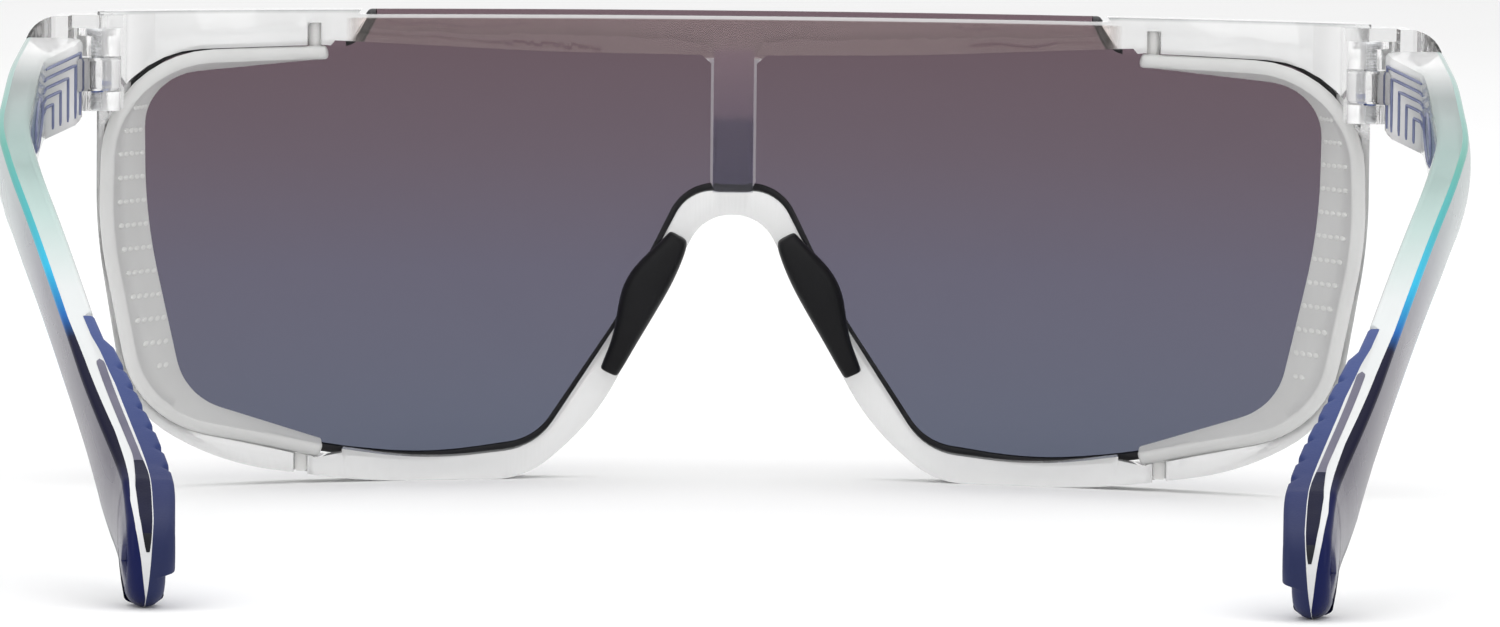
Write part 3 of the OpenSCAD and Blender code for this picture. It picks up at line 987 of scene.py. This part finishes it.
def temple_tongue(name, side):
    """The hinge tongue: a barrel round the screw and a web to the arm."""
    steps = 28
    outline = []
    for i in range(steps + 1):
        a = math.radians(150 + 240 * i / steps)
        outline.append((HINGE_X + BARREL_R * math.cos(a), HINGE_D + BARREL_R * math.sin(a)))
    outline += [(HINGE_X + 4.6, BUTT_D + 4.2), (HINGE_X + 1.5, BUTT_D + 4.8)]
    bm = bmesh.new()
    rings = []
    mid_x = sum(p[0] for p in outline) / len(outline)
    mid_d = sum(p[1] for p in outline) / len(outline)
    for inset, z in ((0.25, 41.55), (0, 41.8), (0, 44.6), (0.25, 44.85)):
        k = 1 - inset / 3
        rings.append([(side * (mid_x + (x - mid_x) * k), mid_d + (d - mid_d) * k, z) for x, d in outline])
    add_loft(bm, rings)
    finish_mesh(bm, f"temple_tongue_{name}", f"{name}_temple", [CLEAR])


def add_rod(bm, points, radius, sides=8):
    """A rod along (x, d, z) points."""
    pts = [Vector(p) for p in points]
    rings = []
    for i, p in enumerate(pts):
        way = (pts[min(i + 1, len(pts) - 1)] - pts[max(i - 1, 0)]).normalized()
        a = way.cross(Vector((1, 0, 0)))
        if a.length < 1e-3:
            a = way.cross(Vector((0, 0, 1)))
        a.normalize()
        b = way.cross(a).normalized()
        size = radius * (0.6 if i in (0, len(pts) - 1) else 1)
        rings.append([tuple(p + size * (a * math.cos(2 * math.pi * k / sides)
                                        + b * math.sin(2 * math.pi * k / sides)))
                      for k in range(sides)])
    add_loft(bm, rings)


def temple_ribs(name, side):
    """Nested ribs on the inner face behind the hinge, and the rim of the recess."""
    bm = bmesh.new()
    for i in range(5):
        d0 = BUTT_D + 3.2 + 1.9 * i
        points = []
        low, top = low_z(d0), smooth(d0, ARM_TOP)
        drop = 1.0 + 0.95 * i
        for k in range(9):
            z = low + 0.9 + (top - drop - low - 0.9) * k / 8
            points.append((side * (inner_x(d0) - 0.06), d0, z))
        for d in spaced(d0 + 0.5, d0 + 9.5 - 0.8 * i, 0.8):
            points.append((side * (inner_x(d) - 0.06), d, smooth(d, ARM_TOP) - drop))
        add_rod(bm, points, 0.17)
    loop = []
    for k in range(25):
        a = 2 * math.pi * k / 24
        d = 63.5 + 5.2 * math.cos(a)
        middle = (low_z(d) + smooth(d, ARM_TOP)) / 2
        loop.append((side * (inner_x(d) - 0.05), d, middle + 2.1 * math.sin(a)))
    add_rod(bm, loop, 0.2)
    finish_mesh(bm, f"temple_ribs_{name}", f"{name}_temple", [RIB])


# ---------------------------------------------------------------- stage

def stage():
    mat = Nodes("stage_paint")
    mat.tint((0.91, 0.91, 0.91), (0.93, 0.93, 0.93), 2)
    mat.set(Roughness=0.9)
    bm = bmesh.new()
    bm.faces.new([bm.verts.new((x, y, 0)) for x, y in ((-8, -8), (8, -8), (8, 8), (-8, 8))])
    mesh = bpy.data.meshes.new("studio_floor")
    bm.to_mesh(mesh)
    bm.free()
    mesh.materials.append(mat.mat)
    floor = bpy.data.objects.new("studio_floor", mesh)
    bpy.context.scene.collection.objects.link(floor)


def area_light(name, place, target, size, power):
    light = bpy.data.lights.new(name, "AREA")
    light.shape = "RECTANGLE"
    light.size, light.size_y = size
    light.energy = power
    obj = bpy.data.objects.new(name, light)
    obj.location = place
    obj.rotation_euler = (Vector(target) - Vector(place)).to_track_quat("-Z", "Y").to_euler()
    bpy.context.scene.collection.objects.link(obj)


def lights():
    """Even light from all round, a little darker at the sides so that clear edges show."""
    world = bpy.data.worlds.new("studio_air")
    world.use_nodes = True
    tree = world.node_tree
    place = tree.nodes.new("ShaderNodeTexCoord")
    split = tree.nodes.new("ShaderNodeSeparateXYZ")
    aside = tree.nodes.new("ShaderNodeMath")
    aside.operation = "ABSOLUTE"
    ramp = tree.nodes.new("ShaderNodeValToRGB")
    ramp.color_ramp.elements[0].position = 0.25
    ramp.color_ramp.elements[0].color = (1.0, 1.0, 1.0, 1)
    ramp.color_ramp.elements[1].position = 0.95
    ramp.color_ramp.elements[1].color = (0.62, 0.62, 0.62, 1)
    tree.links.new(place.outputs["Generated"], split.inputs[0])
    tree.links.new(split.outputs["X"], aside.inputs[0])
    tree.links.new(aside.outputs[0], ramp.inputs[0])
    tree.links.new(ramp.outputs[0], tree.nodes["Background"].inputs[0])
    tree.nodes["Background"].inputs[1].default_value = 1.06
    bpy.context.scene.world = world
    area_light("top_soft", (0, -0.1, 1.4), (0, 0, 0), (1.6, 1.6), 7)
    area_light("left_strip", (-1.1, -0.4, 0.5), (0, 0, 0.03), (0.3, 1.0), 2)
    area_light("right_strip", (1.1, -0.4, 0.5), (0, 0, 0.03), (0.3, 1.0), 2)


CAMERA_D = 900        # distance behind the lens apex
CAMERA_Z = 71
CAMERA_TURN = math.radians(-0.125)
CAMERA_DIP = math.radians(3.42)
CAMERA_ROLL = math.radians(0.6)


def camera():
    """On the wearer's side and a little above, with a long lens."""
    data = bpy.data.cameras.new("camera")
    data.sensor_width = 36
    data.lens = 204.3
    data.clip_end = 20
    obj = bpy.data.objects.new("camera", data)
    turn = Matrix.Rotation(CAMERA_TURN, 4, "Z")
    pitch = Matrix.Rotation(math.radians(90) - CAMERA_DIP, 4, "X")
    roll = Matrix.Rotation(CAMERA_ROLL, 4, "Z")
    place = Matrix.Translation((0, (APEX_Y - CAMERA_D) * MM, CAMERA_Z * MM))
    obj.matrix_world = place @ turn @ pitch @ roll
    bpy.context.scene.collection.objects.link(obj)
    bpy.context.scene.camera = obj


# ---------------------------------------------------------------- the object

front_frame()
lens()
for name, side in SIDES.items():
    side_shield(name, side)
    nose_pad(name, side)
    hinge_screw(name, side)
    temple_arm(name, side)
    temple_skin(name, side)
    temple_grip(name, side)
    temple_painted_reflection(name, side)
    temple_tongue(name, side)
    temple_ribs(name, side)
stage()
lights()
camera()
bpy.context.scene.view_settings.view_transform = "Standard"
